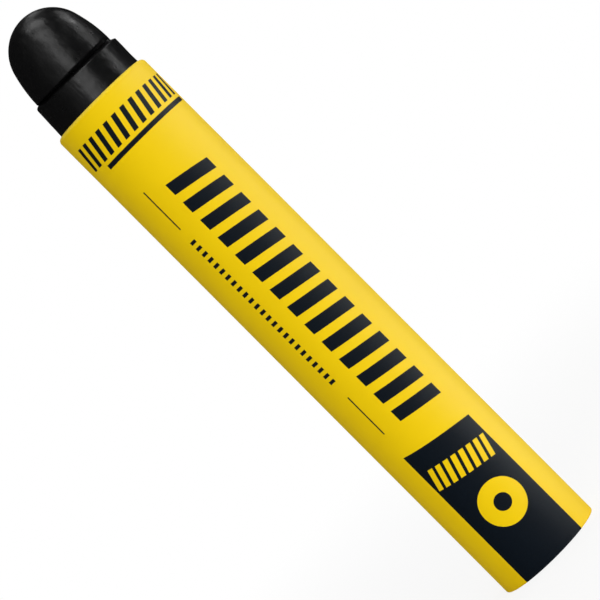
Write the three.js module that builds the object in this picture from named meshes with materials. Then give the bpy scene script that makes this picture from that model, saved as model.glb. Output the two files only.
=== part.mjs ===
// Solid paint stick: a cast bar of paint with a bullet nose, in a paperboard sleeve that is wound
// from one sheet and covered by a printed paper wrap. Millimetres, +Z along the stick with the
// nose up, the origin at the centre of the sleeve's rear end. The printed front looks along -Y,
// and the seams of the board and of the wrap lie at the back.

import * as THREE from "three";

const degree = Math.PI / 180;

// Paint bar
const barDiameter = 17.3;
const exposedBody = 4.9; // full-width bar between the sleeve's mouth and the shoulder
const shoulderHeight = 0.9; // along the bar
const shoulderStep = 0.45; // how far the rounded shoulder falls in towards the axis
const grooveWidth = 0.65; // line that the mould leaves between the shoulder and the nose
const grooveDepth = 0.1; // below the nose's foot
const footDiameter = 15.9; // nose where it stands on the groove
const noseLength = 11.55; // foot to tip
const flankRadius = 27; // long curve of the nose's side
const tipRadius = 7.3; // round end that the side runs into
const rearSetback = 0.6; // bar's rear face, inside the sleeve's rear end
const rearEdgeRadius = 0.4;
const dishDepth = 0.5; // the rear face sank as the paint set

// Sleeve: one sheet of paperboard wound round in several turns
const sleeveLength = 103; // rear end to the top of the mouth's lip
const slideClearance = 0.08; // bar to bore, all round
const sheetThickness = 0.18;
const sheetTurns = 4;
const sheetLap = 5; // last turn, carried on past the sheet's first edge
const mouthLand = 0.1; // flat board left between the rounded lip and the bore
const rearRounding = 0.3; // outer corner of the rear end
const boardSeamAngle = 108; // degrees from +X, where the sheet's first edge lies

// Printed wrap: one turn of paper with a glued lap
const wrapThickness = 0.12;
const glueFilm = 0.02;
const wrapLap = 6;
const wrapSeamAngle = 58; // degrees from +X, where the outer flap's edge lies
const wrapRearTuck = 35; // degrees that the wrap follows the rounded rear corner

// How a sheet passes an edge that lies under it, or ends
const climbWidth = 1.2;
const edgeWidth = 0.03;

// Facets
const roundSteps = 72;
const arcSteps = 4;
const flankSteps = 6;
const tipSteps = 10;

// What follows from these
const barRadius = barDiameter / 2;
const boreRadius = barRadius + slideClearance;
const boardRadius = boreRadius + sheetTurns * sheetThickness;
const wrapInnerRadius = boardRadius + glueFilm;
const wrapOuterRadius = wrapInnerRadius + wrapThickness;
const boardTop = sleeveLength - wrapThickness - glueFilm;
const lipRadius = boardRadius - boreRadius - mouthLand;
const shoulderBase = sleeveLength + exposedBody;
const grooveBase = shoulderBase + shoulderHeight;
const noseFoot = grooveBase + grooveWidth;
const noseTip = noseFoot + noseLength;
const footRadius = footDiameter / 2;

// Points of a round stretch in the plane of radius and height, between two angles in radians.
// height lets the stretch be an ellipse.
function roundStretch(centreR, centreZ, radius, from, to, steps, height = radius) {
  const points = [];
  for (let i = 0; i <= steps; i += 1) {
    const angle = from + ((to - from) * i) / steps;
    points.push(new THREE.Vector2(centreR + radius * Math.cos(angle), centreZ + height * Math.sin(angle)));
  }
  return points;
}

// The nose's side is an arc through the foot that runs smoothly into the round tip. The two
// circles touch, so their centres are the difference of the radii apart; the direction between
// the centres, join, is the angle that also takes the side's arc through the foot.
function noseProfile() {
  const tipCentre = noseTip - tipRadius;
  const apart = flankRadius - tipRadius;
  const fall = tipCentre - noseFoot;
  const across = 2 * footRadius * apart;
  const along = 2 * fall * apart;
  const rest = flankRadius ** 2 - apart ** 2 - footRadius ** 2 - fall ** 2;
  const join = Math.acos(rest / Math.hypot(across, along)) - Math.atan2(along, across);
  const flankCentreR = -apart * Math.cos(join);
  const flankCentreZ = tipCentre - apart * Math.sin(join);
  const footAngle = Math.asin((noseFoot - flankCentreZ) / flankRadius);
  const side = roundStretch(flankCentreR, flankCentreZ, flankRadius, footAngle, join, flankSteps);
  const tip = roundStretch(0, tipCentre, tipRadius, join, 90 * degree, tipSteps).slice(1);
  tip[tip.length - 1].x = 0;
  return [...side, ...tip];
}

// The bar's rear face is a shallow dish inside a rounded edge.
function rearProfile() {
  const edgeStart = barRadius - rearEdgeRadius;
  const points = [];
  for (let i = 0; i < arcSteps; i += 1) {
    const share = i / arcSteps;
    points.push(new THREE.Vector2(edgeStart * share, rearSetback + dishDepth * (1 - share ** 2)));
  }
  const edgeCentre = rearSetback + rearEdgeRadius;
  return [...points, ...roundStretch(edgeStart, edgeCentre, rearEdgeRadius, -90 * degree, 0, arcSteps)];
}

function paintStick() {
  const shoulderRadius = barRadius - shoulderStep;
  const grooveRadius = footRadius - grooveDepth;
  const points = [
    ...rearProfile(),
    ...roundStretch(shoulderRadius, shoulderBase, shoulderStep, 0, 90 * degree, arcSteps, shoulderHeight),
    new THREE.Vector2(grooveRadius, grooveBase + grooveDepth),
    new THREE.Vector2(grooveRadius, noseFoot - grooveDepth),
    ...noseProfile(),
  ];
  return new THREE.LatheGeometry(points, roundSteps).rotateX(90 * degree);
}

// Sheet edges, as the angle round the sleeve and how far a surface stands out there. Each table
// is read in a straight line from one entry to the next, and is level outside them.
const boardStart = boardSeamAngle * degree;
const boardEnd = boardStart + sheetLap / boardRadius;
const wrapEnd = wrapSeamAngle * degree;
const wrapStart = wrapEnd - wrapLap / wrapOuterRadius;
const climb = climbWidth / boardRadius;
const edge = edgeWidth / boardRadius;

// The first turn lifts off the bore to climb over the sheet's first edge.
const boreNotch = [
  [boardStart - climb, 0],
  [boardStart - edge, sheetThickness],
  [boardStart, 0],
];
const boardLap = [
  [boardStart - climb, 0],
  [boardStart, sheetThickness],
  [boardEnd, sheetThickness],
  [boardEnd + edge, 0],
];
// The wrap can't follow the board's last edge sharply, so it runs down beyond it.
const wrapOverBoard = [
  [boardStart - climb, 0],
  [boardStart, sheetThickness],
  [boardEnd + edge, sheetThickness],
  [boardEnd + climb, 0],
];
const wrapFlap = [
  [wrapStart - climb, 0],
  [wrapStart, wrapThickness],
  [wrapEnd, wrapThickness],
  [wrapEnd + edge, 0],
];

function riseAt(table, angle) {
  for (let i = 1; i < table.length; i += 1) {
    const [from, low] = table[i - 1];
    const [to, high] = table[i];
    if (angle >= from && angle <= to) {
      return low + ((high - low) * (angle - from)) / (to - from);
    }
  }
  return 0;
}

// Even steps round the sleeve, with one more at each entry of the tables
function anglesWithEdges() {
  const apart = edge / 3;
  const edges = [boreNotch, boardLap, wrapOverBoard, wrapFlap].flat().map(([angle]) => angle);
  const angles = [];
  for (let i = 0; i < roundSteps; i += 1) {
    angles.push((i * 360 * degree) / roundSteps);
  }
  const clear = angles.filter((angle) => edges.every((other) => Math.abs(angle - other) > apart));
  const sorted = [...clear, ...edges].sort((a, b) => a - b);
  return sorted.filter((angle, i) => i === 0 || angle - sorted[i - 1] > apart);
}

// A ring swept round the axis from a closed profile that runs anticlockwise in the plane of
// radius and height. Each profile point carries the tables by which its surface stands out.
function woundRing(profile) {
  const angles = anglesWithEdges();
  const positions = [];
  const index = [];
  for (const angle of angles) {
    for (const { point, tables } of profile) {
      const radius = tables.reduce((sum, table) => sum + riseAt(table, angle), point.x);
      positions.push(radius * Math.cos(angle), radius * Math.sin(angle), point.y);
    }
  }
  const count = profile.length;
  for (let i = 0; i < angles.length; i += 1) {
    const next = (i + 1) % angles.length;
    for (let j = 0; j < count; j += 1) {
      const after = (j + 1) % count;
      const here = i * count + j;
      const beside = next * count + j;
      const above = i * count + after;
      const across = next * count + after;
      index.push(here, beside, above, beside, across, above);
    }
  }
  const geometry = new THREE.BufferGeometry();
  geometry.setAttribute("position", new THREE.Float32BufferAttribute(positions, 3));
  geometry.setIndex(index);
  geometry.computeVertexNormals();
  return geometry;
}

function onSurface(points, tables) {
  return points.map((point) => ({ point, tables }));
}

function sleeveCore() {
  const rearCentre = boardRadius - rearRounding;
  const lipCentre = boardRadius - lipRadius;
  const outside = [
    ...roundStretch(rearCentre, rearRounding, rearRounding, -90 * degree, 0, arcSteps),
    ...roundStretch(lipCentre, boardTop - lipRadius, lipRadius, 0, 90 * degree, arcSteps),
  ];
  const bore = [new THREE.Vector2(boreRadius, boardTop), new THREE.Vector2(boreRadius, 0)];
  return woundRing([...onSurface(outside, [boardLap]), ...onSurface(bore, [boreNotch])]);
}

// The wrap's two faces follow the board's corners at their own distances.
function printedWrap() {
  const face = (distance) => [
    ...roundStretch(
      boardRadius - rearRounding, rearRounding, rearRounding + distance, -wrapRearTuck * degree, 0, arcSteps,
    ),
    ...roundStretch(
      boardRadius - lipRadius, boardTop - lipRadius, lipRadius + distance, 0, 90 * degree, arcSteps,
    ),
  ];
  const outside = face(glueFilm + wrapThickness);
  const inside = face(glueFilm).reverse();
  return woundRing([
    ...onSurface(outside, [wrapOverBoard, wrapFlap]),
    ...onSurface(inside, [wrapOverBoard]),
  ]);
}

function piece(name, geometry, color, roughness) {
  const material = new THREE.MeshStandardMaterial({ color, roughness, metalness: 0 });
  const mesh = new THREE.Mesh(geometry, material);
  mesh.name = name;
  return mesh;
}

const stick = new THREE.Group();
stick.add(piece("paint_stick", paintStick(), 0x101112, 0.45));
stick.add(piece("sleeve_core", sleeveCore(), 0xb59a72, 0.95));
stick.add(piece("printed_wrap", printedWrap(), 0xf3cd18, 0.5));

export default stick;
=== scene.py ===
# Solid paint stick: a cast bar of black paint in a printed paper sleeve. It stands upright on its
# sleeve, printed front towards -Y. Sizes are millimetres in the dictionaries of the pieces, and
# metres in those of the studio and the camera.
from math import acos, asin, atan2, cos, hypot, pi, radians, sin

import bpy
import numpy as np
from mathutils import Matrix, Vector


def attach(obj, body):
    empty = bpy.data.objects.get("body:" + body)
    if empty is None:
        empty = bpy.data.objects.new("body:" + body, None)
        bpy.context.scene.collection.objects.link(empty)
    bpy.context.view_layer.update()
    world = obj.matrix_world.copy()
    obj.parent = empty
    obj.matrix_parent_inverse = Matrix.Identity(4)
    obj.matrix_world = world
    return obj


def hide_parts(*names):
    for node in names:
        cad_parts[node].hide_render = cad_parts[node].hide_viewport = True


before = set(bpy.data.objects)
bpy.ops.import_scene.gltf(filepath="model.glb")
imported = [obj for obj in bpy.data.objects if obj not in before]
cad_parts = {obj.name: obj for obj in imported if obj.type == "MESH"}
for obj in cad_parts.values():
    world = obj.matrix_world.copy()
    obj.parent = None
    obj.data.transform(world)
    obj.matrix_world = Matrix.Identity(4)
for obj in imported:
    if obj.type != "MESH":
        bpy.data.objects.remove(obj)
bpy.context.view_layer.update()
print("frame loaded, nodes:", ", ".join(sorted(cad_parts)))

mm = 0.001


# A smooth step from 0 to 1 while value goes from 0 to 1: 3 v^2 - 2 v^3, level outside.
def smooth(value):
    value = np.clip(value, 0, 1)
    return value * value * (3 - 2 * value)


# Unevenness, mostly between -1 and 1: a sum of cosine waves, each with a whole number of
# waves round the stick and its own slant along it. Along it, none is shorter than shortest.
def uneven(angle, height, seed, mostTurns, shortest, waves=14):
    dice = np.random.default_rng(seed)
    total = 0
    for _ in range(waves):
        turns = dice.integers(0, mostTurns + 1)
        along = dice.uniform(-2 * pi, 2 * pi) / shortest
        total = total + np.cos(turns * angle + along * height + dice.uniform(0, 2 * pi))
    return total / waves**0.5


# Joins a grid of points in mm, rows along the profile and columns round the stick, into a closed
# mesh in metres. The columns always meet. A ring's rows meet too; otherwise the first and last
# rows are single points, and a fan of triangles closes the surface at each. Corners of more than
# sharpFrom degrees stay crisp.
def closedSurface(name, grid, ring=False, sharpFrom=50):
    rows, columns = grid.shape[:2]
    here = np.arange(columns)
    beside = np.roll(here, -1)
    if ring:
        points = grid.reshape(-1, 3)
        below = np.arange(rows)[:, None] * columns
        above = np.roll(below, -1, axis=0)
        fans = []
    else:
        points = np.vstack([grid[0, :1], grid[1:-1].reshape(-1, 3), grid[-1, :1]])
        below = 1 + np.arange(rows - 3)[:, None] * columns
        above = below + columns
        last = len(points) - 1
        firstFan = np.stack([0 * here, 1 + beside, 1 + here], -1)
        lastFan = np.stack([last - columns + here, last - columns + beside, last + 0 * here], -1)
        fans = [*firstFan.tolist(), *lastFan.tolist()]
    quads = np.stack([below + here, below + beside, above + beside, above + here], -1)
    mesh = bpy.data.meshes.new(name)
    mesh.from_pydata((points * mm).tolist(), [], [*quads.reshape(-1, 4).tolist(), *fans])
    mesh.shade_smooth()
    mesh.set_sharp_from_angle(angle=radians(sharpFrom))
    piece = bpy.data.objects.new(name, mesh)
    bpy.context.scene.collection.objects.link(piece)
    return piece


# A shader socket in an expression: each operator adds its Math node, node() adds any other one.
class Wire:
    def __init__(self, tree, socket=None):
        self.tree = tree
        self.socket = socket

    # kind is the node's type. Settings are set first, then sockets take values or other wires.
    def node(self, kind, settings=(), sockets=(), output=0):
        made = self.tree.nodes.new(kind)
        for name, value in dict(settings).items():
            if name == "stops":
                elements = made.color_ramp.elements
                while len(elements) < len(value):
                    elements.new(1)
                for element, (position, colour) in zip(elements, value):
                    element.position = position
                    element.color = colour
            else:
                setattr(made, name, value)
        for name, value in dict(sockets).items():
            if isinstance(value, Wire):
                self.tree.links.new(value.socket, made.inputs[name])
            else:
                made.inputs[name].default_value = value
        return Wire(self.tree, made.outputs[output] if made.outputs else None)

    def other(self, output):
        return Wire(self.tree, self.socket.node.outputs[output])

    def math(self, operation, *values, clamped=False):
        settings = {"operation": operation, "use_clamp": clamped}
        return self.node("ShaderNodeMath", settings, enumerate(values))

    def __add__(self, value):
        return self.math("ADD", self, value)

    __radd__ = __add__

    def __sub__(self, value):
        return self.math("SUBTRACT", self, value)

    def __rsub__(self, value):
        return self.math("SUBTRACT", value, self)

    def __mul__(self, value):
        return self.math("MULTIPLY", self, value)

    __rmul__ = __mul__


def newMaterial(name):
    material = bpy.data.materials.new(name)
    material.use_nodes = True
    material.node_tree.nodes.clear()
    return material, Wire(material.node_tree)


def objectPlace(start):
    return start.node("ShaderNodeTexCoord", output="Object")


# One colour turning into another as share goes from 0 to 1. The Mix node has its colours in
# sockets 6 and 7, and gives the result as output 2.
def blendColours(start, share, first, second):
    sockets = {0: share, 6: first, 7: second}
    return start.node("ShaderNodeMix", {"data_type": "RGBA"}, sockets, output=2)


# Cloudy noise about 0.5; size is in mm.
def cloud(start, place, size, detail=2, roughness=0.5):
    sockets = {"Vector": place, "Scale": 1 / (size * mm), "Detail": detail, "Roughness": roughness}
    return start.node("ShaderNodeTexNoise", {}, sockets)


# The place with its height scaled: under 1, a pattern is drawn out along the stick.
def alongStick(start, place, factor):
    return start.node("ShaderNodeVectorMath", {"operation": "MULTIPLY"}, {0: place, 1: (1, 1, factor)})


def length(start, vector):
    return start.node("ShaderNodeVectorMath", {"operation": "LENGTH"}, {0: vector}, output="Value")


# Small bumps; depth is in mm, for a height of 1.
def relief(start, height, depth):
    return start.node("ShaderNodeBump", {}, {"Distance": depth * mm, "Height": height})


def finishMaterial(start, sockets):
    shader = start.node("ShaderNodeBsdfPrincipled", {}, sockets)
    start.node("ShaderNodeOutputMaterial", {}, {"Surface": shader})


# A colour as a screen gives it, from 0 to 255, in the linear values that a shader takes
def fromScreen(red, green, blue):
    return [*(((c / 255 + 0.055) / 1.055) ** 2.4 for c in (red, green, blue)), 1]


# The bar of paint: rear dish, straight side, shoulder, mould groove and bullet nose. A pair gives
# a value on +X and on -X; a tilt gives the rise towards +X and +Y.
castPaint = {
    "radius": 8.65,
    "rearFace": 0.6,
    "rearEdge": 0.4,
    "dish": 0.5,
    "rampLength": 3.4,  # on -X the bar thins slowly towards the shoulder
    "rampDepth": 0.12,
    "shoulderRound": (0.07, 0.75),  # along the bar
    "shoulderStep": (0.07, 0.24),  # across it
    "grooveStart": 108.3,
    "grooveTilt": (-0.12, 0.36),  # the mould wasn't square to the bar
    "grooveRise": 0.55,  # how much higher the bar's edge stands on -X
    "riseWidth": 0.2,  # share of the half width over which it rises
    "grooveDepth": 0.9,
    "grooveCurve": 1.3,  # above 1, its rims are rounded
    "runOut": (0, 0.16),  # depth that is left of it on the sides
    "runOutWidth": 0.06,  # share of the half width over which it runs out
    "ledge": (0.3, 0.75),  # share of the groove's width that its lower wall takes
    "noseFoot": 7.95,
    "footHeight": 109.41,
    "footTilt": (0.045, 0.36),
    "footFade": 6,  # height over which the nose straightens up
    "tipHeight": 120.84,
    "flankRadius": 27,
    "tipRadius": 7.3,
    "openFrom": 103,  # the sleeve's mouth
    "openOver": 2,
    "handled": 0.05,  # thinner where it shows, because hands wear it
    "lean": 0.05,  # the part that shows stands a little towards +X
    "leanFrom": 102.8,
    "leanOver": 4,
    "lumpDepth": 0.02,
    "broadLumps": {"seed": 5, "mostTurns": 5, "shortest": 9},
    "fineLumps": {"seed": 6, "mostTurns": 14, "shortest": 4},
    "fineShare": 0.4,
    "sleeveShare": 0.4,  # of the lumps, inside the sleeve
    "calmRadius": 5,  # lumps and wear fade towards the axis from here
    "columns": 288,
    "rows": {
        "dish": 12, "rearEdge": 8, "side": 150, "ramp": 16, "shoulder": 10, "groove": 32,
        "flank": 40, "tip": 44,
    },
    "colour": fromScreen(9, 9, 9.5),
    "rubbed": fromScreen(16, 16, 16.5),
    "shine": 0.4217,
    "smoothest": 0.11,  # roughness, before the marks below dull it
    "markDepth": 0.11,  # relief of a mark with a height of 1
    "drag": {"size": 1, "along": 0.16, "height": 0.35, "dull": 0.1},
    "dents": {"size": 2.6, "along": 0.5, "height": 1.2, "dull": 0.12},
    "pits": {"size": 1.2, "detail": 1, "height": 0.4, "dull": 0.2},
    "grain": {"size": 0.2, "height": 0.03},
}


# Even steps up to 1, without the 0 that the rows before them end on
def steps(count):
    return np.linspace(0, 1, count + 1)[1:, None]


def onSides(pair, angle):
    return pair[0] + (pair[1] - pair[0]) * (1 - np.cos(angle)) / 2


def tilted(tilt, angle):
    return tilt[0] * np.cos(angle) + tilt[1] * np.sin(angle)


# The rear face, a parabola that is deepest on the axis, and its rounded edge
def rearRows(paint):
    rear, bend = paint["rearFace"], paint["rearEdge"]
    inner = paint["radius"] - bend
    share = np.linspace(0, 1, paint["rows"]["dish"])[:, None]
    corner = steps(paint["rows"]["rearEdge"]) * pi / 2
    return [
        (share * inner, rear + paint["dish"] * (1 - share**2)),
        (inner + bend * np.sin(corner), rear + bend * (1 - np.cos(corner))),
    ]


# The straight side, the ramp on -X and the shoulder, a quarter of an ellipse that ends at top. The
# ramp's rows take their place from how far below top they lie.
def sideRows(paint, angle, top):
    full, ramp, rows = paint["radius"], paint["rampLength"], paint["rows"]
    start = paint["rearFace"] + paint["rearEdge"]
    high, step = onSides(paint["shoulderRound"], angle), onSides(paint["shoulderStep"], angle)

    def thinned(below):
        return full - onSides((0, paint["rampDepth"]), angle) * np.clip(1 - below / ramp, 0, 1)

    below = ramp + steps(rows["ramp"]) * (high - ramp)
    corner = steps(rows["shoulder"]) * pi / 2
    return [
        (full, start + steps(rows["side"]) * (top - ramp - start)),
        (thinned(below), top - below),
        (thinned(high) - step * (1 - np.cos(corner)), top - high * (1 - np.sin(corner))),
    ]


# The groove lies between the shoulder, at radius rim and height top, and the nose's foot. It is a
# V with rounded rims: its depth times t^curve, where t goes from 0 at a rim to 1 in the middle.
def grooveRows(paint, angle, rim, top):
    share = steps(paint["rows"]["groove"])[:-1]
    width = paint["footHeight"] + tilted(paint["footTilt"], angle) - top
    shallow = onSides(paint["runOut"], angle)
    deeper = smooth((1 - np.abs(np.cos(angle))) / paint["runOutWidth"])
    depth = shallow + (paint["grooveDepth"] - shallow) * deeper
    notch = depth * (1 - np.abs(2 * share - 1)) ** paint["grooveCurve"]
    level = rim + (paint["noseFoot"] - rim) * smooth(share / onSides(paint["ledge"], angle))
    return [(level - notch, top + width * share)]


# The nose's side is an arc through its foot that runs into the round tip without a corner: the
# two circles touch, so their centres lie the difference of the radii apart, and the angle of
# the line between the centres follows from the arc having to pass through the foot. The foot's
# tilt fades on the way up.
def noseRows(paint, angle):
    foot, flank, tip = paint["noseFoot"], paint["flankRadius"], paint["tipRadius"]
    tipCentre = paint["tipHeight"] - tip
    apart = flank - tip
    fall = tipCentre - paint["footHeight"]
    across, along = 2 * foot * apart, 2 * fall * apart
    rest = flank**2 - apart**2 - foot**2 - fall**2
    join = acos(rest / hypot(across, along)) - atan2(along, across)
    centreR, centreZ = -apart * cos(join), tipCentre - apart * sin(join)
    side = np.linspace(asin((paint["footHeight"] - centreZ) / flank), join, paint["rows"]["flank"])
    end = np.linspace(join, pi / 2, paint["rows"]["tip"] + 1)[1:]
    radius = np.concatenate([centreR + flank * np.cos(side), tip * np.cos(end)])[:, None]
    height = np.concatenate([centreZ + flank * np.sin(side), tipCentre + tip * np.sin(end)])[:, None]
    fade = smooth(1 - (height - paint["footHeight"]) / paint["footFade"])
    return [(radius, height + tilted(paint["footTilt"], angle) * fade)]


# The bar as points over profile row and angle. Lumps move it in and out, hands have thinned the
# part that shows, and both fade towards the axis.
def paintGrid(paint):
    angle = np.linspace(0, 2 * pi, paint["columns"], endpoint=False)[None, :]
    rise = smooth((-np.cos(angle) - 1 + paint["riseWidth"]) / paint["riseWidth"])
    top = paint["grooveStart"] + tilted(paint["grooveTilt"], angle) + paint["grooveRise"] * rise
    body = sideRows(paint, angle, top)
    rim = body[-1][0][-1:]  # radius of the shoulder's last row
    sections = [*rearRows(paint), *body, *grooveRows(paint, angle, rim, top), *noseRows(paint, angle)]
    pairs = [np.broadcast_arrays(r, z, angle)[:2] for r, z in sections]
    radius, height = (np.vstack(part) for part in zip(*pairs))
    lumps = uneven(angle, height, **paint["broadLumps"])
    lumps = lumps + paint["fineShare"] * uneven(angle, height, **paint["fineLumps"])
    inTheOpen = smooth((height - paint["openFrom"]) / paint["openOver"])
    lumps = lumps * (paint["sleeveShare"] + (1 - paint["sleeveShare"]) * inTheOpen)
    for moved in (paint["lumpDepth"] * lumps, -paint["handled"] * inTheOpen):
        radius = radius + moved * np.clip(radius / paint["calmRadius"], 0, 1)
    lean = paint["lean"] * smooth((height - paint["leanFrom"]) / paint["leanOver"])
    radius[0] = radius[-1] = 0
    return np.stack([radius * np.cos(angle) + lean, radius * np.sin(angle), height], -1)


# Cast wax paint: nearly black and satin, with drag lines along the bar, shallow dents that break
# up its highlights, and clouds in its gloss
def paintMaterial(paint):
    material, start = newMaterial("castBlackPaint")
    place = objectPlace(start)
    drag, dents, pits, grain = (paint[name] for name in ("drag", "dents", "pits", "grain"))
    dragCloud = cloud(start, alongStick(start, place, drag["along"]), drag["size"])
    dentCloud = cloud(start, alongStick(start, place, dents["along"]), dents["size"])
    pitCloud = cloud(start, place, pits["size"], pits["detail"])
    grainCloud = cloud(start, place, grain["size"])
    height = dragCloud * drag["height"] + dentCloud * dents["height"]
    height = height + pitCloud * pits["height"] + grainCloud * grain["height"]
    dull = dragCloud * drag["dull"] + dentCloud * dents["dull"] + pitCloud * pits["dull"]
    finishMaterial(start, {
        "Base Color": blendColours(start, grainCloud * dragCloud, paint["colour"], paint["rubbed"]),
        "Roughness": dull + paint["smoothest"],
        "Specular IOR Level": paint["shine"],
        "Normal": relief(start, height, paint["markDepth"]),
    })
    return material


paintBar = closedSurface("castPaint", paintGrid(castPaint))
paintBar.data.materials.append(paintMaterial(castPaint))
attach(paintBar, "bar")
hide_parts("paint_stick")
print("paint bar made")


# The printed paper round the board: one turn with a glued lap, turned over the mouth's lip and
# tucked round the rear corner. Angles are degrees from +X, as seen from the nose. A band is where
# something shows along the stick: from, to, and how soft its ends are.
printedPaper = {
    "board": 9.45,
    "glue": 0.02,
    "paper": 0.12,
    "boardTop": 102.86,
    "lip": 0.62,
    "fold": 0.88,  # radius of the outer face where the sheet is turned over the lip
    "overTheLip": 0.07,  # how much thinner the sheet is on top of the lip
    "rearCorner": 0.3,
    "rearTuck": 35,
    "boardEdge": 0.18,  # the board sheet's own edges, felt through the paper
    "boardLap": (108, 138.3),
    "flap": (22.2, 58),
    "climb": 1.2,
    "cutEdge": 0.03,
    "looser": 0.09,  # wider at the rear end than at the mouth
    "snugAt": 0.35,  # share of the height where it is as wide as the solid
    "waveDepth": 0.012,
    "waves": {"seed": 11, "mostTurns": 4, "shortest": 30},
    "pleatDepth": 0.006,
    "pleats": {"seed": 12, "mostTurns": 60, "shortest": 5},
    "columns": 512,
    "outerRows": (6, 60, 14),  # on the tuck, the side and the lip
    "innerRows": (4, 1, 10),
    "yellow": fromScreen(243, 206, 6),
    "yellowWorn": fromScreen(239, 200, 8),
    # a paler yellow, painted light for the lip where shade falls
    "yellowPaintedLight": fromScreen(255, 234, 104),
    "ink": fromScreen(10, 17, 24),
    "inkThin": fromScreen(18, 25, 33),
    "softness": 0.05,  # of the print's edges
    "ragged": {"size": 0.35, "by": 0.05},
    "fibres": {"size": 0.3, "detail": 3, "roughness": 0.6},
    "patches": 9,
    "reliefDepth": 0.006,
    "lipBand": (102.55, 104, 0.5),
    # how much of that painted light the lip gets
    "lipPaintedLight": 0.4,
    "rearBand": (-1, 0.25, 0.3),
    "flecks": {"size": 0.5, "detail": 3, "roughness": 0.7},
    "fleckContrast": (12, -7.4),  # factor and offset: only the cloud's peaks are flecks
    "fleckStrength": 0.12,
    "roughness": 0.6,
    "fibreDull": 0.08,
    "inkGloss": 0.05,
    "shine": 0.0273,
    "varnish": 0.044,  # a faint shine that the yellow has on top of this, and the ink hasn't
    "bare": fromScreen(238, 232, 214),
    "bareDark": fromScreen(214, 204, 180),
    "bareFibres": {"size": 0.25, "detail": 3, "roughness": 0.6},
    "bareRelief": 0.01,
    "bareRoughness": 0.9,
}


# How far a sheet stands out where it climbs over an edge below it: up over a climb's length,
# level, and down over another length.
def riseOver(angle, start, end, height, climb, descent):
    up = smooth((angle - start + climb) / climb)
    down = smooth((end + descent - angle) / descent)
    return height * np.minimum(up, down)


# One face of the sheet as radius and height: round the rear corner, up the side and over the lip.
# distance is how far it lies outside the board; at the lip it is an arc of radius fold that stops
# above the board's own. turned goes from 0 to 1 over the lip.
def paperFace(sheet, distance, fold, foldTop, rows):
    board, rear = sheet["board"], sheet["rearCorner"]
    tuckRows, sideRows, lipRows = rows
    onSide, corner = board + distance, rear + distance
    centreR, centreZ = onSide - fold, foldTop - fold
    tuck = np.linspace(-radians(sheet["rearTuck"]), 0, tuckRows + 1)
    side = np.linspace(rear, centreZ, sideRows + 1)[1:-1]
    over = np.linspace(0, acos((board - sheet["lip"] - centreR) / fold), lipRows + 1)
    radius = [board - rear + corner * np.cos(tuck), onSide + 0 * side, centreR + fold * np.cos(over)]
    height = [rear + corner * np.sin(tuck), side, centreZ + fold * np.sin(over)]
    turned = [0 * tuck, 0 * side, over / over[-1]]
    return [np.concatenate(part)[:, None] for part in (radius, height, turned)]


# The sheet's outer face runs from the rear to the lip, its inner face comes back. Waves and a
# slight widening move the outer face, and pleats grow towards the turned-in edge.
def paperGrid(sheet):
    board = sheet["board"]
    climb, cut = sheet["climb"] / board, sheet["cutEdge"] / board
    lapStart, lapEnd = (radians(degrees) for degrees in sheet["boardLap"])
    flapStart, flapEnd = (radians(degrees) for degrees in sheet["flap"])
    edges = [flapEnd, flapEnd + cut, flapStart - climb, lapStart, lapEnd]
    even = np.linspace(0, 2 * pi, sheet["columns"], endpoint=False)
    angle = np.sort(np.append(even, edges))[None, :]
    glue, thick, top = sheet["glue"], sheet["glue"] + sheet["paper"], sheet["boardTop"]
    outer = paperFace(sheet, thick, sheet["fold"], top + thick - sheet["overTheLip"], sheet["outerRows"])
    inner = paperFace(sheet, glue, sheet["lip"] + glue, top + glue, sheet["innerRows"])
    outerRows = len(outer[0])
    radius, height, turned = (np.vstack([out, back[::-1]]) for out, back in zip(outer, inner))
    onOuter = (np.arange(len(radius)) < outerRows)[:, None]
    overBoard = riseOver(angle, lapStart, lapEnd, sheet["boardEdge"], climb, climb)
    flap = riseOver(angle, flapStart, flapEnd, sheet["paper"], climb, cut)
    waves = sheet["waveDepth"] * (1 + uneven(angle, height, **sheet["waves"]) / 2)
    pleats = sheet["pleatDepth"] * turned**2 * (1 + uneven(angle, 0 * height, **sheet["pleats"]))
    loose = sheet["looser"] * (sheet["snugAt"] - height / top) * (1 - turned)
    radius = radius + overBoard + onOuter * (flap + waves + loose)
    height = height + onOuter * np.clip(pleats, 0, None)
    grid = np.stack([radius * np.cos(angle), radius * np.sin(angle), height + 0 * angle], -1)
    return grid, outerRows - 1


# What is printed, laid out on the unrolled sheet in mm: round is the way round from the middle
# of the front, positive towards +X, and height is measured from the rear end. Letters, signs and
# marks are plain bars, rules and a ring. slant is how far the print leans along the stick for
# each mm round it; a bar's lean is how far it goes round for each mm along.
label = {
    "slant": 0.176,
    "mouthBar": {"round": (-7.4, 13), "height": (93.45, 94.28)},
    "mouthHatch": {
        "round": (-11.4, 12.9), "height": (94.95, 99.35), "count": 13, "bar": 0.95, "lean": 0.2,
    },
    "bigBars": {"round": (-2.3, 5.9), "height": (31.6, 86), "count": 14, "bar": 2.25},
    "rules": {"round": (-6.08, -5.82), "heights": ((33, 41.3), (78.9, 87.2))},
    "smallTicks": {"round": (-6.55, -5.35), "height": (44.15, 76.7), "count": 25, "bar": 0.6},
    "block": {"round": (-6.65, 6.65), "height": (-20, 26.97)},
    "blockBars": {"round": (-6.2, 6.12), "height": (19.25, 23.2), "count": 8, "bar": 0.95, "lean": 0.3},
    "ring": {"centre": (0.23, 12.3), "radii": (1.5, 4.05)},
    "backTicks": {
        "rounds": (-20.5, -18.3, -16.1), "wide": 1, "height": (32, 86), "count": 36, "bar": 0.8,
    },
}


# 1 between low and high, 0 outside, with an edge that is soft over a fraction of a mm
def within(value, low, high, soft=printedPaper["softness"]):
    rising = value.math("MULTIPLY_ADD", value, 1 / soft, 0.5 - low / soft, clamped=True)
    falling = value.math("MULTIPLY_ADD", value, -1 / soft, 0.5 + high / soft, clamped=True)
    return rising * falling


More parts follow.
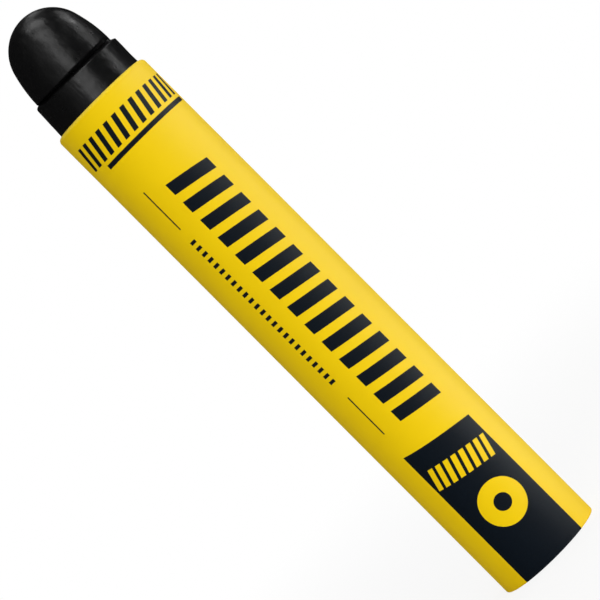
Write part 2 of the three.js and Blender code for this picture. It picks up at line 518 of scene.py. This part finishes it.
# Equal bars across value from low to high, each in the middle of its share
def barsAcross(value, low, high, count, bar):
    pitch = (high - low) / count
    local = value.math("FLOORED_MODULO", value - low, pitch)
    return within(local, (pitch - bar) / 2, (pitch + bar) / 2) * within(value, low, high)


# A row of bars that follow each other along the stick
def barsAlong(across, height, row):
    return within(across, *row["round"]) * barsAcross(height, *row["height"], row["count"], row["bar"])


# A row of leaning bars side by side, cut off by height; upright is the way round, less the lean
def barsRound(upright, height, row):
    bars = barsAcross(upright, *row["round"], row["count"], row["bar"])
    return bars * within(height, *row["height"])


# The dark field at the rear, without its bars and its ring
def blockInk(across, height, leant):
    block, row, ring = label["block"], label["blockBars"], label["ring"]
    field = within(across, *block["round"]) * within(leant, *block["height"])
    upright = across - (height - sum(row["height"]) / 2) * row["lean"]
    barred = barsRound(upright, leant, row)
    ringAcross, ringHeight = ring["centre"]
    away = across.node("ShaderNodeCombineXYZ", {}, {0: across - ringAcross, 1: height - ringHeight})
    ringed = within(length(across, away), *ring["radii"])
    return field * (1 - barred) * (1 - ringed)


# All that is printed: 1 in the ink, 0 outside it
def labelInk(across, height):
    leant = height + across * label["slant"]
    bar, hatch, rules, back = (label[name] for name in ("mouthBar", "mouthHatch", "rules", "backTicks"))
    ink = within(across, *bar["round"]) * within(height, *bar["height"])
    ink = ink + barsRound(across - (height - hatch["height"][0]) * hatch["lean"], height, hatch)
    ink = ink + barsAlong(across, leant, label["bigBars"])
    ink = ink + barsAlong(across, height, label["smallTicks"])
    onRules = sum(within(height, *span) for span in rules["heights"])
    ink = ink + within(across, *rules["round"]) * onRules
    inRows = sum(within(across, low, low + back["wide"]) for low in back["rounds"])
    ink = ink + inRows * barsAcross(height, *back["height"], back["count"], back["bar"])
    return ink + blockInk(across, height, leant)


# Printed paper: matt, with a faint shine on the yellow, a fine fibre relief, thin places in the
# ink, a paler yellow over the lip that is painted light against the shade there, and flecks
# rubbed off there and at the rear corner
def printMaterial(sheet):
    material, start = newMaterial("yellowPrintedPaper")
    place = objectPlace(start)
    parts = start.node("ShaderNodeSeparateXYZ", {}, {0: place})
    outer = sheet["board"] + sheet["glue"] + sheet["paper"]
    ragged = (cloud(start, place, sheet["ragged"]["size"]) - 0.5) * sheet["ragged"]["by"]
    across = start.math("ARCTAN2", parts, parts.other("Y") * -1) * outer + ragged
    height = parts.other("Z") * (1 / mm) + ragged
    fibres = cloud(start, place, **sheet["fibres"])
    patches = cloud(start, place, sheet["patches"])
    ink = labelInk(across, height)
    yellow = blendColours(start, patches, sheet["yellow"], sheet["yellowWorn"])
    black = blendColours(start, fibres, sheet["ink"], sheet["inkThin"])
    printed = blendColours(start, ink, yellow, black)
    atLip, atRear = within(height, *sheet["lipBand"]), within(height, *sheet["rearBand"])
    # Painted light: the lip is made paler yellow to lift the shade that falls on it.
    overTheLip = blendColours(start, atLip * sheet["lipPaintedLight"], printed, sheet["yellowPaintedLight"])
    peaks = cloud(start, place, **sheet["flecks"])
    flecks = start.math("MULTIPLY_ADD", peaks, *sheet["fleckContrast"], clamped=True)
    rubbed = (atLip + atRear) * flecks * sheet["fleckStrength"]
    smoothest = sheet["roughness"] - sheet["fibreDull"] / 2
    finishMaterial(start, {
        "Base Color": blendColours(start, rubbed, overTheLip, sheet["bare"]),
        "Roughness": fibres * sheet["fibreDull"] - ink * sheet["inkGloss"] + smoothest,
        "Specular IOR Level": sheet["shine"],
        "Coat Weight": (1 - ink) * sheet["varnish"],
        "Coat Roughness": sheet["roughness"],
        "Normal": relief(start, fibres + patches, sheet["reliefDepth"]),
    })
    return material


# The sheet's unprinted inside and its cut edges
def bareMaterial(sheet):
    material, start = newMaterial("barePaper")
    fibres = cloud(start, objectPlace(start), **sheet["bareFibres"])
    finishMaterial(start, {
        "Base Color": blendColours(start, fibres, sheet["bare"], sheet["bareDark"]),
        "Roughness": sheet["bareRoughness"],
        "Normal": relief(start, fibres, sheet["bareRelief"]),
    })
    return material


grid, printedRows = paperGrid(printedPaper)
paperWrap = closedSurface("printedPaper", grid, ring=True)
paperWrap.data.materials.append(printMaterial(printedPaper))
paperWrap.data.materials.append(bareMaterial(printedPaper))
isBare = np.repeat(np.arange(grid.shape[0]) >= printedRows, grid.shape[1]).astype(np.int32)
paperWrap.data.polygons.foreach_set("material_index", isBare)
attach(paperWrap, "sleeve")
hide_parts("printed_wrap")
print("printed paper made")


# The wound board under the paper keeps its CAD shape. Its end faces show the edges of the turns
# as thin rings.
woundBoard = {
    "bore": 8.73,
    "sheet": 0.18,
    "light": fromScreen(196, 168, 128),
    "dark": fromScreen(164, 134, 96),
    "glueLine": fromScreen(112, 86, 56),
    "glueBand": (-0.1, 0.07, 0.06),  # from, to and softness, as shares of the sheet's thickness
    "endFace": 0.9,  # a face that looks along the stick by more than this shows the rings
    "fibres": {"size": 0.5, "detail": 4, "roughness": 0.65},
    "fibresAlong": 0.3,
    "reliefDepth": 0.02,
    "roughness": 0.95,
}


# A glue line is where the distance to the nearest whole turn, which PINGPONG gives, is small.
def boardMaterial(board):
    material, start = newMaterial("brownBoard")
    place = objectPlace(start)
    radius = length(start, alongStick(start, place, 0))
    turns = (radius * (1 / mm) - board["bore"]) * (1 / board["sheet"])
    seam = within(turns.math("PINGPONG", turns, 0.5), *board["glueBand"])
    facing = start.node("ShaderNodeNewGeometry", output="True Normal")
    up = start.node("ShaderNodeSeparateXYZ", {}, {0: facing}).other("Z")
    atEnd = start.math("GREATER_THAN", start.math("ABSOLUTE", up), board["endFace"])
    fibres = cloud(start, alongStick(start, place, board["fibresAlong"]), **board["fibres"])
    body = blendColours(start, fibres, board["light"], board["dark"])
    finishMaterial(start, {
        "Base Color": blendColours(start, seam * atEnd, body, board["glueLine"]),
        "Roughness": board["roughness"],
        "Normal": relief(start, fibres, board["reliefDepth"]),
    })
    return material


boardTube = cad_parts["sleeve_core"]
brownBoard = boardMaterial(woundBoard)
for slot in boardTube.material_slots:
    slot.material = brownBoard
print("board covered")


# The studio: a pale floor, an even pale surround and soft lamps. Lamps are placed by azimuth from
# the front, positive towards +X, and elevation, both in degrees, at a distance from the stick;
# width runs round the stick, length up and over it. Brightness is the lamp face's. A lamp gives
# both matt light and shine unless one is False.
studio = {
    "aim": Vector((0, 0, 0.1)),
    "distance": 0.65,
    "floorColour": 0.82,
    "floorGlow": 0.85,
    "floorFade": (0.06, 0.35),  # distance over which the floor's own colour gives way to white
    "floorReach": 4,
    "surround": [
        (-180, 0.38), (-150, 0.3), (-120, 0.25), (-60, 0.25), (-30, 0.14),
        (0, 0.27), (30, 0.45), (90, 0.27), (180, 0.38),
    ],
    "lamps": [
        {"azimuth": 4, "elevation": 8, "width": 0.31, "length": 0.34, "brightness": 1.75},
        {"azimuth": 12, "elevation": 45, "width": 0.29, "length": 0.5, "brightness": 1.9},
        {"azimuth": 72, "elevation": 78, "width": 0.26, "length": 0.3, "brightness": 2.1},
        {"azimuth": 165, "elevation": 74, "width": 0.16, "length": 0.16, "brightness": 0.6},
        {"azimuth": 165, "elevation": 50, "width": 0.12, "length": 0.3, "brightness": 0.9},
        {"azimuth": 87, "elevation": 4, "width": 0.08, "length": 0.3, "brightness": 3.6, "matt": False},
        {"azimuth": 106, "elevation": 24, "width": 0.11, "length": 0.2, "brightness": 4, "matt": False},
        {"azimuth": 128, "elevation": 30, "width": 0.1, "length": 0.12, "brightness": 1.6, "matt": False},
        {"azimuth": 13, "elevation": 2, "aim": Vector((0, 0, 0.01)), "distance": 0.27,
         "width": 0.19, "length": 0.12, "brightness": 2.4, "shine": False},
        {"azimuth": 40, "elevation": 0, "aim": Vector((0, 0, 0.004)), "distance": 0.06,
         "width": 0.06, "length": 0.03, "brightness": 0.5, "shine": False},
        {"azimuth": 118, "elevation": 10, "width": 0.4, "length": 0.4, "brightness": 2, "shine": False},
        {"azimuth": -132, "elevation": 10, "width": 0.4, "length": 0.4, "brightness": 1.15, "shine": False},
        {"azimuth": 170, "elevation": 15, "width": 0.4, "length": 0.4, "brightness": 1, "shine": False},
    ],
    "sleeveCards": [
        {"azimuth": 77, "elevation": 0, "aim": Vector((0, 0, 0.076)), "distance": 0.1,
         "width": 0.15, "length": 0.15, "brightness": 10.8, "matt": False},
        {"azimuth": 77, "elevation": 0, "aim": Vector((0, 0, 0.011)), "distance": 0.06,
         "width": 0.09, "length": 0.02, "brightness": 12.5, "matt": False},
    ],
}


# 1 for rays from the camera, a mirror image or through glass, 0 for rays that carry light
def seenDirectly(start):
    camera = start.node("ShaderNodeLightPath", output="Is Camera Ray")
    seen = camera + camera.other("Is Glossy Ray")
    return start.math("ADD", seen, camera.other("Is Transmission Ray"), clamped=True)


# A lamp's energy in watts is 4 times its area for each unit of its face's brightness.
def addLamp(lamp, onlyOn=None):
    light = bpy.data.lights.new("softbox", "AREA")
    light.shape = "RECTANGLE"
    light.size, light.size_y = lamp["width"], lamp["length"]
    light.energy = 4 * lamp["brightness"] * lamp["width"] * lamp["length"]
    azimuth, elevation = radians(lamp["azimuth"]), radians(lamp["elevation"])
    away = Vector((sin(azimuth) * cos(elevation), -cos(azimuth) * cos(elevation), sin(elevation)))
    across = Vector((cos(azimuth), sin(azimuth), 0))
    turn = Matrix((across, away.cross(across), away)).transposed().to_4x4()
    place = lamp.get("aim", studio["aim"]) + away * lamp.get("distance", studio["distance"])
    holder = bpy.data.objects.new("softbox", light)
    holder.matrix_world = Matrix.Translation(place) @ turn
    holder.visible_camera = False
    holder.visible_glossy = lamp.get("shine", True)
    holder.visible_diffuse = lamp.get("matt", True)
    bpy.context.scene.collection.objects.link(holder)
    if onlyOn:
        # Otherwise rays that meet a card by chance would bring its matt light after all.
        light.cycles.use_multiple_importance_sampling = False
        lit = bpy.data.collections.new("litBySoftbox")
        lit.objects.link(onlyOn)
        holder.light_linking.receiver_collection = lit


def addFloor():
    reach = studio["floorReach"]
    corners = [(-reach, -reach, 0), (reach, -reach, 0), (reach, reach, 0), (-reach, reach, 0)]
    mesh = bpy.data.meshes.new("floor")
    mesh.from_pydata(corners, [], [(0, 1, 2, 3)])
    floor = bpy.data.objects.new("floor", mesh)
    bpy.context.scene.collection.objects.link(floor)
    material, start = newMaterial("paleFloor")
    near, far = studio["floorFade"]
    white = start.node("ShaderNodeMapRange", {"interpolation_type": "SMOOTHSTEP"}, {
        "Value": length(start, objectPlace(start)), "From Min": near, "From Max": far,
        "To Min": studio["floorGlow"], "To Max": 1,
    })
    pale = start.node("ShaderNodeBsdfDiffuse", {}, {"Color": [studio["floorColour"]] * 3 + [1]})
    glow = start.node("ShaderNodeEmission", {}, {"Strength": 1})
    shown = start.node("ShaderNodeMixShader", {}, {0: seenDirectly(start) * white, 1: pale, 2: glow})
    start.node("ShaderNodeOutputMaterial", {}, {"Surface": shown})
    mesh.materials.append(material)


# Brightness by azimuth, from stops of degrees and grey, for a direction or a place round the
# stick. The ramp goes once round, from -180 degrees at 0 to 180 degrees at 1.
def greyByAzimuth(start, direction, stops):
    parts = start.node("ShaderNodeSeparateXYZ", {}, {0: direction})
    azimuth = start.math("ARCTAN2", parts, parts.other("Y") * -1)
    ramp = [(0.5 + degrees / 360, (grey, grey, grey, 1)) for degrees, grey in stops]
    return start.node("ShaderNodeValToRGB", {"stops": ramp}, {0: azimuth * (0.5 / pi) + 0.5})


def addSurround():
    world = bpy.data.worlds.new("paleSurround")
    world.use_nodes = True
    world.node_tree.nodes.clear()
    world.cycles.sampling_method = "NONE"
    bpy.context.scene.world = world
    start = Wire(world.node_tree)
    grey = greyByAzimuth(start, start.node("ShaderNodeTexCoord"), studio["surround"])
    pale = start.node("ShaderNodeBackground", {}, {"Color": grey, "Strength": 1})
    white = start.node("ShaderNodeBackground", {}, {"Color": (1, 1, 1, 1), "Strength": 1})
    shown = start.node("ShaderNodeMixShader", {}, {0: seenDirectly(start), 1: pale, 2: white})
    start.node("ShaderNodeOutputWorld", {}, {"Surface": shown})


# Grey cards that stand all round, seen only in reflections, keep the paint's sides dark: a sphere
# in mm, cut off flat just above the floor. Each stop is an azimuth in degrees and the brightness
# there.
greyCards = {
    "radius": 900,
    "bottom": 0.3,
    "columns": 48,
    "rows": 25,
    "stops": [
        (-180, 0.015), (-120, 0.02), (-60, 0.035), (-45, 0.12), (-32, 0.22), (-18, 0.2),
        (0, 0.06), (20, 0.02), (75, 0.01), (100, 0.02), (140, 0.015), (180, 0.015),
    ],
}


def addCards(cards):
    around = np.linspace(0, 2 * pi, cards["columns"], endpoint=False)[None, :]
    rise = np.linspace(-pi / 2, pi / 2, cards["rows"])[:, None]
    reach = cards["radius"] * np.cos(rise)
    height = np.maximum(cards["radius"] * np.sin(rise), cards["bottom"]) + 0 * around
    grid = np.stack([reach * np.cos(around), reach * np.sin(around), height], -1)
    screen = closedSurface("greyCards", grid)
    material, start = newMaterial("greyCard")
    grey = greyByAzimuth(start, objectPlace(start), cards["stops"])
    glow = start.node("ShaderNodeEmission", {}, {"Color": grey})
    start.node("ShaderNodeOutputMaterial", {}, {"Surface": glow})
    screen.data.materials.append(material)
    for kind in ("camera", "diffuse", "transmission", "volume_scatter", "shadow"):
        setattr(screen, "visible_" + kind, False)


# The photograph's camera: a little above the middle of the stick, looking slightly down, and
# rolled so that the stick runs from the upper left to the lower right. Its angles are radians;
# lens and sensor are in mm.
photoCamera = {
    "place": (0, -0.47433, 0.0751),
    "down": 0.0374,
    "roll": pi / 4 - 0.0018,
    "lens": 176.45,
    "sensor": 36,
}


def addCamera(view):
    data = bpy.data.cameras.new("photoCamera")
    data.sensor_width = view["sensor"]
    data.lens = view["lens"]
    camera = bpy.data.objects.new("photoCamera", data)
    down, roll = view["down"], view["roll"]
    back = Vector((0, -cos(down), sin(down)))
    upright = Vector((0, sin(down), cos(down)))
    level = Vector((1, 0, 0))
    right = level * cos(roll) - upright * sin(roll)
    above = level * sin(roll) + upright * cos(roll)
    turn = Matrix((right, above, back)).transposed().to_4x4()
    camera.matrix_world = Matrix.Translation(view["place"]) @ turn
    bpy.context.scene.collection.objects.link(camera)
    bpy.context.scene.camera = camera


for lamp in studio["lamps"]:
    addLamp(lamp)
for card in studio["sleeveCards"]:
    addLamp(card, onlyOn=paperWrap)
addFloor()
addSurround()
addCards(greyCards)
addCamera(photoCamera)
bpy.context.scene.view_settings.view_transform = "Standard"
print("studio and camera set")
